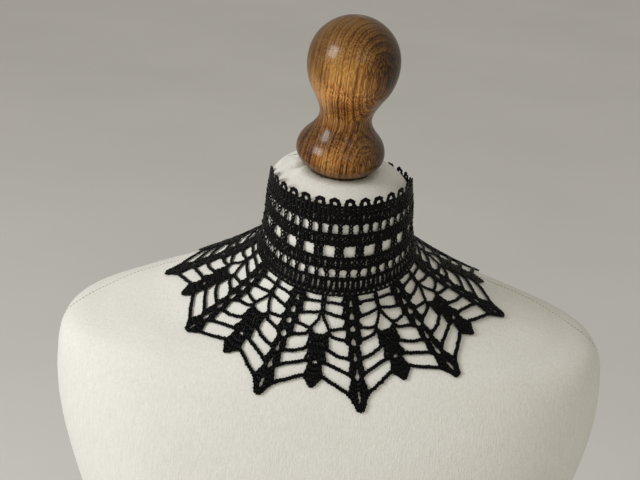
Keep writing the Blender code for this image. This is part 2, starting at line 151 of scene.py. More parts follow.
# Turned shapes, from the base up.
Turning = namedtuple("Turning", "height radius")
KNOB = listed(
    Turning,
    (0.0, 0.0243), (0.0058, 0.0312), (0.0126, 0.0342), (0.0214, 0.032), (0.0311, 0.0244),
    (0.0399, 0.0204), (0.0486, 0.0212), (0.0584, 0.0257), (0.07, 0.0319), (0.0836, 0.0348),
    (0.0973, 0.0333), (0.1089, 0.0271), (0.1177, 0.016), (0.1225, 0.0),
)
KNOB_X = -0.0034
KNOB_LEAN = 0.077  # its axis, as the cap's slopes
KNOB_NOD = 0.192
KNOB_GAP = 0.0003
KNOB_DETAIL = 8  # rings from one turning to the next
KNOB_STEPS = 128

# The lace. Its pattern is in millimetres. A start is the share of a row's length by which the middle of the front
# lies towards the wearer's left.
REPEATS = 10
YOKE_START = 0.0329
YOKE_DEPTH = 88.4
BAND_START = 0.0050
BAND_HEIGHT = 66.0
STITCHES = 93
# How far points of the yoke have moved up the form, more and more from CREEP_START down. spine 0 is the front.
Creep = namedtuple("Creep", "side spine up")
CREEPS = [Creep(1, 0, -2.0), Creep(-1, 0, -2.0), Creep(-1, 2, 7.5)]
CREEP_START = 60.0
# How much higher than its rows the band's top edge stands at the left of the neck: stitches from the front, and
# the rise, which fades towards the yoke.
RISE = [(14.0, 0.0), (19.0, 1.0), (23.5, 3.5), (29.0, 3.5), (35.0, 1.2), (41.0, 0.0)]

# One link of chain, in link lengths along it, in half widths across it and in yarn widths out of it: up one leg
# of the loop, round its head, and down the other leg. Its feet come out of the link before it, its legs pass over
# that link's head, and its own head lies behind the next link's legs. The yarn swells where nothing holds it.
Bend = namedtuple("Bend", "along aside out girth")
LEG = listed(
    Bend,
    (-0.04, -0.22, -0.24, 0.80),
    (0.18, -0.60, 0.34, 0.96),
    (0.62, -1.06, 0.28, 1.20),
    (1.10, -0.42, -0.34, 0.92),
)
LINK = LEG + [bend._replace(aside=-bend.aside) for bend in reversed(LEG)]
# Half widths of the yarn, which the stitches flatten a little. Metres.
YARN_ACROSS = 0.00074
YARN_OUT = 0.00052
# How far a link strays sideways, and the shares by which its bends and its yarn's girth differ from the next.
WOBBLE = 0.17
LOOSE_BENDS = 0.07
LOOSE_GIRTH = 0.07
LOOSE_LEAN = 0.05  # stitches, from a band post's foot to its head
LOOSE_ROLL = 0.25
# The yoke's links, and how much wider its chains and posts are worked than drawn.
CHAIN_LINK = 2.4
POST_LINK = 3.8
CHAIN_SLACK = 0.15
POST_SLACK = 0.10
CORED_FROM = 2.7  # wider chains have a yarn along their middle
POST_ROLL = 0.9  # radians, from a post's foot to its head
YOKE_FLARE = 0.2

# Half a repeat of the yoke. across runs from the middle of a leaf to that of a spine, aside is counted from there
# towards the spine, and down from the band.
Spot = namedtuple("Spot", "across aside down")
# A line of yarn: its width, and where it runs.
Line = namedtuple("Line", "width spots")
LEAF = 0
SPINE = 1


def drawn(*rows):
    """Lines of yarn. Each row is a width, and then across, aside and down for each spot."""
    return [Line(width, [Spot(*spot) for spot in spots]) for width, *spots in rows]


def upright(across, *rows):
    """Lines along the middle of a leaf or of a spine. Each row is a width, and aside and down for each spot."""
    return [Line(width, [Spot(across, *spot) for spot in spots]) for width, *spots in rows]


# The rounds of chain, from the band outwards.
CHAINS = drawn(
    (2.5, (0, 0, 5.7), (0.2, 0, 5.7), (0.38, 0, 5.8), (0.58, 0, 6.2), (1, -5.6, 7.6), (1, -2.6, 9.0),
     (1, -1.0, 9.9), (1, 0, 10.0)),
    (2.6, (0.03, 0, 13.0), (0.17, 0, 13.7), (0.32, 0, 14.7), (0.58, 0, 16.0), (1, -6.0, 17.2), (1, -2.8, 19.0),
     (1, -1.0, 19.9), (1, 0, 20.0)),
    (2.6, (0.28, 0, 26.7), (0.46, 0, 26.5), (0.64, 0, 25.6), (1, -5.6, 25.4), (1, -3.0, 27.4), (1, -1.2, 28.9),
     (1, 0, 29.1)),
    (2.8, (0.31, 0, 29.0), (0.355, 0, 31.0), (0.45, 0, 32.4), (0.6, 0, 33.5), (0.74, 0, 34.5), (1, -4.8, 36.4),
     (1, -2.8, 38.4), (1, -1.2, 39.8), (1, 0, 40.1)),
    (2.9, (0, 0, 41.8), (0.15, 0, 41.8), (0.29, 0, 42.0), (0.4, 0, 44.0), (0.6, 0, 46.8), (0.78, 0, 48.3),
     (1, -3.8, 49.8), (1, -1.2, 52.0), (1, 0, 52.3)),
    (3.0, (0, 0, 54.7), (0, 1.4, 54.4), (0, 2.9, 53.3), (0, 5.2, 52.5), (0, 8.4, 52.4), (0.36, 0, 53.6),
     (0.62, 0, 57.2), (0.79, 0, 60.2), (1, -4.4, 62.4), (1, -2.4, 64.8), (1, -1.1, 66.6), (1, 0, 66.8)),
    (3.1, (0, 0, 64.4), (0, 2.6, 64.4), (0, 5.4, 63.6), (0, 8.2, 63.4), (0.34, 0, 65.2), (0.6, 0, 70.6),
     (0.76, 0, 74.2), (1, -6.2, 77.4), (1, -4.0, 81.0), (1, -2.5, 84.4), (1, -1.3, 86.9)),
    # The foundation, along the seam with the band.
    (1.6, (0, 0, -0.2), (0.33, 0, -0.2), (0.67, 0, -0.2), (1, 0, -0.2)),
    # Each leg of the fork above a leaf.
    (2.5, (0.0, 0.5, 13.6), (0.055, 0, 16.4), (0.115, 0, 19.8), (0.18, 0, 22.5), (0.25, 0, 25.2),
     (0.3, 0, 28.4)),
    # Round a leaf's head, and round its tip.
    (2.6, (0, 0, 31.4), (0, 3.4, 31.4), (0, 6.0, 29.6), (0.3, 0, 27.4)),
    (2.4, (0, 6.6, 64.2), (0, 4.3, 66.4), (0, 2.4, 68.8), (0, 1.4, 70.6), (0, 0, 71.3)),
)
# Posts stand from one round to the next: the stem over a leaf, the fans along a spine, and those down a leaf.
POSTS = upright(
    LEAF,
    (1.9, (0.9, 0.4), (0.9, 5.8)),
    (1.9, (0.9, 5.6), (0.8, 13.2)),
) + upright(
    SPINE,
    (2.5, (-1.1, 0.6), (-1.4, 4.2), (-2.6, 8.2)),
    (2.5, (-2.6, 0.6), (-3.4, 4.2), (-4.8, 7.8)),
    (2.5, (-3.8, 0.6), (-5.4, 3.8), (-7.2, 6.4)),
    (2.5, (-1.1, 10.6), (-1.4, 13.4), (-3.2, 17.4), (-3.0, 18.4)),
    (2.5, (-2.8, 9.4), (-3.5, 12.8), (-5.0, 17.0)),
    (2.5, (-4.5, 8.2), (-5.6, 12.0), (-6.9, 16.0)),
    (2.5, (-1.1, 20.4), (-1.4, 22.2), (-3.4, 26.2), (-3.2, 27.2)),
    (2.5, (-2.5, 19.2), (-3.4, 22.0), (-5.0, 25.4)),
    (2.5, (-3.6, 18.4), (-5.0, 21.6), (-6.8, 24.8)),
    (2.5, (-1.1, 29.4), (-1.4, 32.6), (-3.3, 37.0), (-3.1, 38.2)),
    (2.5, (-2.7, 28.0), (-3.3, 32.0), (-4.8, 36.0)),
    (2.5, (-4.2, 26.4), (-5.0, 31.0), (-6.1, 35.2)),
    (2.6, (-1.1, 40.4), (-1.5, 44.6), (-2.5, 49.6), (-2.4, 51.0)),
    (2.6, (-2.5, 38.4), (-3.6, 43.6), (-4.7, 48.8)),
    (2.6, (-1.1, 52.6), (-1.5, 57.4), (-2.9, 63.8), (-2.6, 65.2)),
    (2.6, (-2.2, 51.4), (-3.2, 56.6), (-4.5, 62.2)),
    (2.4, (-3.0, 50.2), (-4.6, 55.8), (-5.6, 60.8)),
    (2.6, (-1.3, 67.0), (-1.6, 72.6), (-2.1, 78.0), (-1.6, 83.4), (-0.9, 86.6)),
    (2.6, (-2.5, 65.8), (-3.8, 71.4), (-4.3, 76.6), (-3.0, 81.6)),
    (2.6, (-3.4, 64.2), (-5.5, 69.6), (-7.0, 74.4)),
) + upright(
    LEAF,
    (2.5, (2.1, 31.6), (2.4, 36.0), (2.6, 41.0)),
    (2.5, (4.2, 31.0), (4.7, 36.0), (5.1, 41.0)),
    (2.5, (6.4, 29.0), (6.9, 35.0), (7.6, 40.6)),
    (2.5, (1.6, 42.4), (2.1, 47.0), (2.6, 52.0)),
    (2.5, (3.1, 42.4), (4.2, 47.0), (5.0, 51.6)),
    (2.5, (4.4, 42.4), (6.3, 47.0), (7.6, 51.4)),
    (2.5, (1.5, 55.4), (1.8, 59.6), (2.1, 63.6)),
    (2.5, (2.9, 54.4), (3.4, 59.0), (4.2, 63.4)),
    (2.5, (4.2, 53.6), (5.2, 58.4), (6.4, 62.6)),
    (2.3, (1.9, 64.8), (1.6, 68.4)),
    (2.3, (3.9, 64.8), (3.1, 67.2)),
)
# The chain down each edge of the opening at the back.
YOKE_EDGE = Line(2.4, [Spot(SPINE, 0, down) for down in np.linspace(0.2, 86.6, 24)])
# The posts on the very middle of a leaf and of a spine.
LEAF_POSTS = upright(
    LEAF,
    (2.4, (0, 31.8), (0, 41.2)),
    (2.4, (0, 42.6), (0, 50.2)),
    (2.4, (0, 55.6), (0, 63.8)),
    (2.4, (0, 65.0), (0, 70.8)),
)
SPINE_POSTS = upright(
    SPINE,
    (2.2, (0, 67.0), (0, 72.8)),
    (2.0, (0, 82.4), (0, 87.4)),
)

# The band's chain lines, up from the yoke.
BandLine = namedtuple("BandLine", "up width")
BAND_LINES = listed(
    BandLine,
    (64.7, 3.0), (62.4, 2.9), (60.1, 2.9), (53.8, 3.0), (45.2, 3.0), (38.7, 3.0), (28.3, 3.0), (20.7, 3.0),
    (12.3, 2.9), (3.4, 2.8),
)
# The rows of posts between them: the stitch of the first post, how many stitches lie from post to post, how many
# posts stand together there, and how loose their widths are.
PostRow = namedtuple("PostRow", "top bottom first stitches together width loose")
POST_ROWS = listed(
    PostRow,
    (60.2, 53.8, 0, 1, 1, 3.55, 0.2),
    (53.8, 45.2, 0, 2, 1, 3.5, 0.12),
    (45.2, 38.7, 0, 1, 1, 3.5, 0.2),
    (38.7, 28.3, 0, 4, 2, 3.5, 0.1),
    (28.3, 20.7, 0, 1, 1, 3.45, 0.2),
    (20.7, 12.3, 0, 2, 1, 3.5, 0.12),
    (12.3, 3.4, 0, 1, 1, 3.0, 0.15),
    (2.9, -0.3, 0.5, 1, 1, 2.5, 0.1),
)
# How much wider the open rows' posts are at the sides of the neck: stitches from the front, and the width.
WIDER = [(9.0, 0.0), (14.0, 0.7), (18.0, 1.2), (28.0, 1.2), (36.0, 0.0)]
DENSE_FLARE = 0.45
OPEN_FLARE = 0.75
PAIR = 0.97  # stitches between two posts that stand together
BAND_POST_LINK = 3.0
BAND_FLAT = 1.20
EDGE = (0.4, 65.4)  # the ends of the chain up each edge of the opening
EDGE_WIDTH = 2.6
# A picot: stitches from its middle, and millimetres up.
PICOT = [(-0.84, 65.3), (-0.76, 66.8), (-0.64, 68.6), (-0.32, 69.8)]
PICOT += [(-stitch, up) for stitch, up in reversed(PICOT)]
PICOT_STITCHES = 3
PICOTS = 15
PICOT_HEIGHT = 5.4
PICOT_WIDTH = 3.2
PICOT_LINK = 2.8
PICOT_FLAT = 1.25
LACE_OPENING = 0.0016  # between the halves at the back
BUTTONS = {"button_top": 58.5, "button_middle": 33.5, "button_bottom": 7.5}  # millimetres up
BUTTON_ASIDE = 0.0052  # from the middle of the opening
BUTTON = listed(
    Turning,
    (0.0, 0.0026), (0.0004, 0.0033), (0.0009, 0.0038), (0.0015, 0.00395), (0.002, 0.0039),
    (0.0026, 0.0033), (0.003, 0.0026), (0.0033, 0.0014), (0.0034, 0.0),
)
BUTTON_STEPS = 40
BUTTON_LIFT = 0.0015  # from the cloth's middle
# The loops round the buttons: the bend's radius, how far aside and off the button's height they end, and their
# lift from the cloth's middle: at the ends, and elsewhere the least and the most.
LOOP_RADIUS = 0.0034
LOOP_ENDS = [(-0.0030, 2.2), (-0.0010, 2.8)]
LOOP_LIFTS = (0.0008, 0.0013, 0.0016)
LOOP_YARN = 0.00045


def smooth(values, place):
    """The value at any place on a smooth curve through evenly spaced values. place counts from the first."""
    values = np.asarray(values, float)
    knots = np.concatenate([[2 * values[0] - values[1]], values, [2 * values[-1] - values[-2]]])
    place = np.clip(np.asarray(place, float), 0, len(values) - 1)
    low = np.minimum(place.astype(int), len(values) - 2)
    f = (place - low).reshape(place.shape + (1,) * (values.ndim - 1))
    a, b, c, d = (knots[low + k] for k in range(4))
    return 0.5 * (2 * b + (c - a) * f + (2 * a - 5 * b + 4 * c - d) * f**2 + (3 * b - a - 3 * c + d) * f**3)


def form_points(place, angle):
    """Points of the form's surface. angle is in radians, from the front towards the wearer's left."""
    z, half_width, front, back, tilt, square, centre_y, sag = np.moveaxis(smooth(SIZES, place), -1, 0)
    across, along = np.sin(angle), -np.cos(angle)
    from_front = np.degrees(np.arccos(np.cos(angle - math.radians(SAG_TURN))))
    sagging = np.clip((from_front - SAG_START) / (SAG_FULL - SAG_START), 0, 1)
    z = z - sag * sagging**2 * (3 - 2 * sagging)
    depth = np.where(along < 0, front, back)
    reach = (np.abs(across / half_width) ** square + np.abs(along / depth) ** square) ** (-1 / square)
    x, y = reach * across, reach * along
    return np.stack([x, y + centre_y + NECK_Y, z + tilt * y + FORM_HEIGHT], axis=-1)


def unit(vectors):
    return vectors / np.linalg.norm(vectors, axis=-1, keepdims=True)


def lengths_along(points):
    """How far along a line each of its points lies."""
    return np.concatenate([[0], np.linalg.norm(np.diff(points, axis=0), axis=1).cumsum()])


def sample(at, lengths, rows):
    """Rows of numbers at other lengths along a line than those that rows are given for."""
    return np.stack([np.interp(at, lengths, column) for column in rows.T], axis=1)


def outward(points):
    """Unit normals of a grid of points whose rows run down and whose columns close round towards +X."""
    along = np.gradient(points, axis=1)
    along[:, 0] = along[:, -1] = points[:, 1] - points[:, -2]
    return unit(np.cross(np.gradient(points, axis=0), along))


class Cloth:
    """The middle of the lace's thickness, as a grid: a row each STEP millimetres, in equal shares all round.

    Above 0 the rows are the band's, and below 0 a row lies the same length of cloth down from the band all
    round the form.
    """

    STEP = 2.0
    TOP = -78.0
    ROWS = 87
    SHARES = 360
    PLACES = 600

    def __init__(self):
        angles = np.linspace(0, 2 * math.pi, self.SHARES + 1)
        places = np.linspace(0, PLACE["arm_side"], self.PLACES)
        surface = form_points(places[:, None], angles[None, :])
        surface += outward(surface) * (CLEARANCE + CLOTH / 2)
        steps = np.linalg.norm(np.diff(surface, axis=0), axis=2)
        fall = MM * np.vstack([np.zeros(len(angles)), steps.cumsum(axis=0)])
        bottom = PLACE["band_bottom"]
        fall -= [np.interp(bottom, places, column) for column in fall.T]
        rows, lengths = [], []
        for down in self.TOP + self.STEP * np.arange(self.ROWS):
            if down < 0:
                place = bottom + (bottom - PLACE["neck_top"]) * down / BAND_HEIGHT
                at = np.full(len(angles), max(place, 0.0))
            else:
                at = np.array([np.interp(down, column, places) for column in fall.T])
            row = np.concatenate([sample([place], places, surface[:, k]) for k, place in enumerate(at)])
            length = lengths_along(row)
            rows.append(sample(np.linspace(0, length[-1], self.SHARES + 1), length, row))
            lengths.append(length[-1])
        self.points = np.array(rows)
        self.normals = outward(self.points)
        self.lengths = np.array(lengths)

    def row_length(self, down):
        return np.interp(down, self.TOP + np.arange(self.ROWS) * self.STEP, self.lengths)

    def lay(self, share, down):
        """Points on the cloth and its normals there, for arrays of shares and of millimetres down."""
        row = np.clip((np.asarray(down, float) - self.TOP) / self.STEP, 0, self.ROWS - 1.001)
        column = (np.asarray(share, float) % 1.0) * self.SHARES
        i, j = row.astype(int), np.minimum(column.astype(int), self.SHARES - 1)
        f, g = (row - i)[:, None], (column - j)[:, None]

        def blend(grid):
            upper = (1 - g) * grid[i, j] + g * grid[i, j + 1]
            lower = (1 - g) * grid[i + 1, j] + g * grid[i + 1, j + 1]
            return (1 - f) * upper + f * lower

        return blend(self.points), unit(blend(self.normals))


class Route:
    """A smooth line on the cloth, which a chain or a post follows."""

    DETAIL = 8  # points from one of its spots to the next

    def __init__(self, cloth, spots):
        """spots are pairs of a share and of millimetres down."""
        places = np.linspace(0, len(spots) - 1, self.DETAIL * (len(spots) - 1) + 1)
        share, down = smooth(spots, places).T
        self.points, self.normals = cloth.lay(share, down)
        self.lengths = lengths_along(self.points)
        self.length = self.lengths[-1]
        self.tangents = unit(np.gradient(self.points, axis=0))

    def at(self, lengths):
        """Points of the line at these lengths along it, or straight on from its ends, and which way is aside and
        out of the cloth there."""
        points, tangents, normals = (
            sample(lengths, self.lengths, rows) for rows in (self.points, self.tangents, self.normals))
        beyond = np.minimum(lengths, 0) + np.maximum(lengths - self.length, 0)
        aside = unit(np.cross(normals, tangents))
        return points + beyond[:, None] * tangents, aside, np.cross(tangents, aside)


class Yarn:
    """Lines of yarn that become one mesh of closed tubes."""

    SIDES = 6

    def __init__(self, seed):
        self.random = np.random.default_rng(seed)
        self.lines = []

    def line(self, points, normals, across, out):
        """across and out are half the yarn's width, and half its thickness along the normals."""
        self.lines.append((points, normals, across, out))

    def chain(self, route, width, pitch, roll=0.0, core=False, flare=0.0, flat=1.0):
        """A chain of crochet along a route.

        pitch is about a link's length, roll turns it round its own line, in radians from end to end, core lays a
        yarn along its middle, flare widens its ends, and flat flattens its yarn, with its girth kept.
        """
        count = max(1, round(route.length * MM / pitch))
        links = np.arange(count)[:, None]
        along, aside, out, girth = (np.broadcast_to(row, (count, len(LINK))) for row in np.array(LINK).T)
        half = width / 2 / MM - YARN_ACROSS
        loose = self.random.normal(0, LOOSE_BENDS, (3, count, len(LINK)))
        along = (along + links + 0.6 * loose[0]) * route.length / count
        aside = aside * half * (1 + loose[1] + flare * (2 * along / route.length - 1) ** 4)
        out = out * 2 * YARN_OUT * (1 + loose[2])
        aside = aside + self.random.normal(0, WOBBLE, (count, 1)) / MM
        turn = roll * (along / route.length - 0.5)
        points, across, up = (row.reshape(count, len(LINK), 3) for row in route.at(along.ravel()))
        aside, out = aside * np.cos(turn) - out * np.sin(turn), aside * np.sin(turn) + out * np.cos(turn)
        points = points + aside[:, :, None] * across + out[:, :, None] * up
        girth = girth * (1 + self.random.normal(0, LOOSE_GIRTH, (count, 1)))
        girth *= (YARN_ACROSS + YARN_OUT) / (YARN_ACROSS * flat + YARN_OUT / flat)
        for k in range(count):
            self.line(points[k], up[k], YARN_ACROSS * flat * girth[k], YARN_OUT / flat * girth[k])
        if core:
            points, _, up = route.at(np.linspace(0, route.length, max(3, count)))
            self.line(points - 0.9 * YARN_OUT * up, up, 0.8 * YARN_ACROSS, 0.8 * YARN_OUT)

    def mesh(self, name, look):
        """One object of all the lines."""
        points, quads, caps, uvs = tubes(self.lines, self.SIDES)
        return add_mesh(name, points, quads + caps, look, uvs)


def tubes(lines, sides):
    """Closed tubes round lines: points, quads, end faces, and a UV for each corner in millimetres along."""
    lengths = np.array([len(points) for points, *_ in lines])
    points, normals = (np.concatenate([line[part] for line in lines]) for part in (0, 1))
    across, out = (
        np.concatenate([np.broadcast_to(line[part], len(line[0])) for line in lines]) for part in (2, 3))
    first = np.concatenate([[0], lengths.cumsum()[:-1]])
    last = lengths.cumsum() - 1
    ahead, behind = np.arange(len(points)) + 1, np.arange(len(points)) - 1
    ahead[last], behind[first] = last, first
    tangents = unit(points[ahead] - points[behind])
    normals = unit(normals - (normals * tangents).sum(axis=1, keepdims=True) * tangents)
    sideways = np.cross(normals, tangents)
    steps = np.linalg.norm(points - points[behind], axis=1) * MM
    along = steps.cumsum()
    along -= np.repeat(along[first], lengths)
    turn = np.arange(sides) * 2 * math.pi / sides
    rings = points[:, None] + across[:, None, None] * np.cos(turn)[:, None] * sideways[:, None]
    rings += out[:, None, None] * np.sin(turn)[:, None] * normals[:, None]
    ring = np.setdiff1d(np.arange(len(points)), last)
    k = np.arange(sides)
    n = (k + 1) % sides
    a = ring[:, None] * sides
    quads = np.stack([a + k, a + sides + k, a + sides + n, a + n], axis=2).reshape(-1, 4)
    caps = [tuple(range(f * sides, (f + 1) * sides)) for f in first]
    caps += [tuple(range(f * sides + sides - 1, f * sides - 1, -1)) for f in last]
    u = np.stack([along[ring], along[ring + 1], along[ring + 1], along[ring]], axis=1)
    u = np.repeat(u[:, None], sides, axis=1)
    v = np.broadcast_to(np.stack([k, k, k + 1, k + 1], axis=1) / sides, u.shape)
    uvs = np.stack([u, v], axis=-1).reshape(-1, 2)
    return rings.reshape(-1, 3), quads.tolist(), caps, np.concatenate([uvs, np.zeros((len(caps) * sides, 2))])


def add_mesh(name, points, faces, look, uvs=None, own=None):
    """own are the points before they were moved into place, for the look of what is turned or carved."""
    mesh = bpy.data.meshes.new(name)
    mesh.from_pydata(np.asarray(points).tolist(), [], faces)
    if own is not None:
        mesh.attributes.new("own", "FLOAT_VECTOR", "POINT").data.foreach_set("vector", np.asarray(own).ravel())
    if uvs is not None:
        mesh.uv_layers.new(name="along").data.foreach_set("uv", np.asarray(uvs, np.float32).ravel())
    mesh.shade_smooth()
    mesh.materials.append(look)
    obj = bpy.data.objects.new(name, mesh)
    bpy.context.scene.collection.objects.link(obj)
    return obj


# ---- materials ----


class Nodes:
    """A material's nodes, made in short calls."""

    def __init__(self, name):
        self.material = bpy.data.materials.new(name)
        self.material.use_nodes = True
        self.tree = self.material.node_tree
        self.shader = self.tree.nodes["Principled BSDF"]

    def add(self, kind, inputs=None, **settings):
        node = self.tree.nodes.new("ShaderNode" + kind)
        for key, value in settings.items():
            setattr(node, key, value)
        for key, value in (inputs or {}).items():
            self.feed(node.inputs[key], value)
        return node

    def place(self):
        """Where a point of the object lies, in metres."""
        return self.add("TexCoord").outputs["Object"]

    def feed(self, socket, value):
        if isinstance(value, bpy.types.NodeSocket):
            self.tree.links.new(value, socket)
        else:
            socket.default_value = value

    def set(self, **values):
        """Sockets of the shader, with _ for the spaces in their names."""
        for key, value in values.items():
            self.feed(self.shader.inputs[key.replace("_", " ")], value)

    def math(self, operation, first, second=0.0, third=0.0):
        return self.add("Math", {0: first, 1: second, 2: third}, operation=operation).outputs[0]

    def scaled(self, value, factor, plus=0.0):
        return self.math("MULTIPLY_ADD", value, factor, plus)

    def noise(self, vector, scale, detail=3.0, roughness=0.5):
        inputs = {"Vector": vector, "Scale": scale, "Detail": detail, "Roughness": roughness}
        return self.add("TexNoise", inputs).outputs[0]

    def ramp(self, value, *stops):
        """A colour for a number. Each stop is a place, and a colour or a grey."""
        node = self.add("ValToRGB", {"Fac": value})
        elements = node.color_ramp.elements
        while len(elements) < len(stops):
            elements.new(0.5)
        for element, (place, colour) in zip(elements, stops):
            element.position = place
            element.color = (*np.broadcast_to(colour, 3), 1.0)
        return node.outputs[0]

    def bump(self, height, strength, distance):
        return self.add("Bump", {"Height": height, "Strength": strength, "Distance": distance}).outputs[0]

    def multiply(self, colour, layer):
        mixed = self.add("Mix", {0: 1.0, 6: colour, 7: layer}, data_type="RGBA", blend_type="MULTIPLY")
        return mixed.outputs[2]

    def stretch(self, vector, scale, rotation=(0, 0, 0), location=(0, 0, 0)):
        inputs = {"Vector": vector, "Scale": scale, "Rotation": rotation, "Location": location}
        return self.add("Mapping", inputs).outputs[0]


def cotton_look():
    """Black mercerised cotton: plies that wind round the strand, a little fluff, and a soft sheen."""
    n = Nodes("black_cotton_yarn")
    uv = n.add("UVMap", uv_map="along").outputs[0]
    parts = n.add("SeparateXYZ", {0: uv})
    turns = n.scaled(parts.outputs[0], 0.9, n.scaled(parts.outputs[1], 3.0))
    ply = n.math("SINE", n.scaled(turns, 2 * math.pi))
    place = n.place()
    fluff = n.noise(place, 2600.0, 2.0, 0.6)
    patch = n.noise(place, 60.0, 2.0)
    height = n.scaled(ply, 0.5, n.scaled(fluff, 0.8))
    colour = n.ramp(n.scaled(fluff, 0.6, n.scaled(patch, 0.4)),
                    (0.30, (0.0006, 0.0006, 0.0007)), (0.75, (0.0026, 0.0025, 0.0027)))
    n.set(Base_Color=colour, Roughness=0.28, Specular_IOR_Level=0.10, Normal=n.bump(height, 0.38, 0.00016))
    return n.material


def jersey_look():
    """Ivory jersey: fine upright wales, faint streaks and mottling, and a short soft nap."""
    n = Nodes("ivory_jersey")
    place = n.place()
    streaks = n.noise(n.stretch(place, (620, 620, 70)), 1.0, 3.0, 0.55)
    wales = n.noise(n.stretch(place, (1300, 1300, 380)), 1.0, 2.0, 0.5)
    mottle = n.noise(place, 9.0, 3.0)
    specks = n.noise(place, 420.0, 3.0, 0.7)
    mixed = n.scaled(streaks, 0.36, n.scaled(mottle, 0.34, n.scaled(specks, 0.30)))
    colour = n.ramp(mixed, (0.38, (0.740, 0.730, 0.675)), (0.62, (0.85, 0.84, 0.79)))
    # Painted shadow: the jersey is darkened in a ragged ring round the knob's foot, where the knob shades it.
    off = n.add("VectorMath", {0: place, 1: (KNOB_X, NECK_Y, FORM_HEIGHT + 0.0045)}, operation="DISTANCE")
    ragged_shadow_distance = n.scaled(n.noise(place, 260.0, 2.0), 0.0030, off.outputs["Value"])
    painted_contact_shadow = n.ramp(n.scaled(ragged_shadow_distance, 20.0), (0.535, (0.07, 0.05, 0.03)), (0.565, (0.52, 0.47, 0.40)), (0.70, 1.0))
    colour = n.multiply(colour, painted_contact_shadow)
    height = n.scaled(wales, 0.8, n.scaled(streaks, 0.6, n.scaled(specks, 0.5)))
    n.set(Base_Color=colour, Roughness=0.86, Specular_IOR_Level=0.25, Sheen_Weight=0.10,
          Sheen_Roughness=0.55, Normal=n.bump(height, 0.75, 0.00050))
    return n.material


def wood_look():
    """Stained oak: growth rings round a line before the knob, open pores along them, and a satin varnish."""
    n = Nodes("stained_oak")
    place = n.add("Attribute", attribute_name="own").outputs["Vector"]
    wander = n.noise(n.stretch(place, (20, 20, 8)), 1.0, 2.0)
    drift = n.add("CombineXYZ", {0: n.scaled(wander, 0.008), 1: n.scaled(wander, -0.006)}).outputs[0]
    bent = n.add("VectorMath", {0: place, 1: drift}, operation="ADD").outputs[0]
    log = n.stretch(bent, (1, 1, 0.04), (0.05, -0.03, 0.0), (-0.021, 0.052, 0.0))
    radius = n.add("VectorMath", {0: log}, operation="LENGTH").outputs["Value"]
    uneven = n.noise(n.add("CombineXYZ", {0: radius}).outputs[0], 170.0, 2.0)
    # The late wood of each ring is dark, and there is more of it in about every other one.
    ring = n.math("FRACT", n.scaled(radius, 400.0, n.scaled(uneven, 2.6)))
    late = n.ramp(ring, (0.0, 1.0), (0.20, 0.10), (0.50, 0.0), (1.0, 1.0))
    years = n.math("FRACT", n.scaled(radius, 190.0, n.scaled(uneven, 1.2)))
    slow = n.ramp(years, (0.0, 1.0), (0.30, 0.0), (0.70, 0.0), (1.0, 1.0))
    late = n.scaled(slow, 0.8, late)
    pores = n.noise(n.stretch(bent, (2400, 2400, 90)), 1.0, 2.0, 0.6)
    fibres = n.noise(n.stretch(bent, (1150, 1150, 16)), 1.0, 3.0, 0.60)
    patch = n.noise(n.stretch(place, (30, 30, 20)), 1.0, 3.0)
    tone = n.scaled(late, -0.11, n.scaled(fibres, 0.66, n.scaled(patch, 0.66, -0.03)))
    colour = n.ramp(tone, (0.38, (0.066, 0.021, 0.004)), (0.53, (0.540, 0.194, 0.030)),
                    (0.66, (1.00, 0.500, 0.120)))
    dark = n.ramp(pores, (0.38, 0.45), (0.52, 1.0))
    # Painted shade: the wood is darkened towards the sides of the knob, where it turns away from the light.
    parts = n.add("SeparateXYZ", {0: place})
    side = n.scaled(parts.outputs[0], -28.0, n.scaled(parts.outputs[1], 11.0))
    side_shade_place = n.math("ADD", side, n.math("SUBTRACT", fibres, 0.5))
    painted_side_shade = n.ramp(n.scaled(side_shade_place, 0.5, 0.5), (0.06, 0.12), (0.46, 1.0), (0.70, 0.92), (0.99, 0.38))
    # Painted shade by height: dark at the foot, where the knob meets the jersey, darker at the waist and crown,
    # and lightest on the bulb's belly, as if lit there.
    painted_shade_by_height = n.ramp(n.scaled(parts.outputs[2], 1 / KNOB[-1].height), (0.00, 0.10), (0.03, 0.46), (0.12, 0.68),
                  (0.27, 0.42), (0.38, 0.60), (0.55, 1.00), (0.80, 0.50), (0.97, 0.26))
    for layer in (dark, painted_side_shade, painted_shade_by_height):
        colour = n.multiply(colour, layer)
    n.set(Base_Color=colour, Roughness=n.scaled(fibres, 0.30, 0.26),
          Specular_IOR_Level=0.12, Coat_Weight=0.36, Coat_Roughness=0.17,
          Normal=n.bump(n.scaled(pores, 0.8, fibres), 0.30, 0.0004))
    return n.material


def button_look():
    n = Nodes("black_button")
    scuffs = n.noise(n.stretch(n.place(), (900, 900, 300)), 1.0, 3.0)
    colour = n.ramp(scuffs, (0.3, (0.006, 0.006, 0.007)), (0.8, (0.016, 0.015, 0.016)))
    n.set(Base_Color=colour, Roughness=n.scaled(scuffs, 0.25, 0.15), Normal=n.bump(scuffs, 0.08, 0.0002))
    return n.material


def thread_with_painted_shade_look():
    n = Nodes("thread_darkened_as_painted_shade")
    twist = n.noise(n.place(), 3000.0, 2.0)
    # The thread is coloured much darker than the jersey: painted shade for the dimples that the stitches make in
    # the seam.
    colour = n.ramp(twist, (0.3, (0.30, 0.275, 0.225)), (0.7, (0.42, 0.39, 0.33)))
    n.set(Base_Color=colour, Roughness=0.7, Normal=n.bump(twist, 0.3, 0.0001))
    return n.material


def floor_look():
    n = Nodes("pale_floor")
    cloud = n.noise(n.place(), 1.6, 4.0)
    colour = n.ramp(cloud, (0.3, (0.77, 0.765, 0.75)), (0.7, (0.82, 0.815, 0.80)))
    n.set(Base_Color=colour, Roughness=0.9)
    return n.material


# ---- the dress form ----


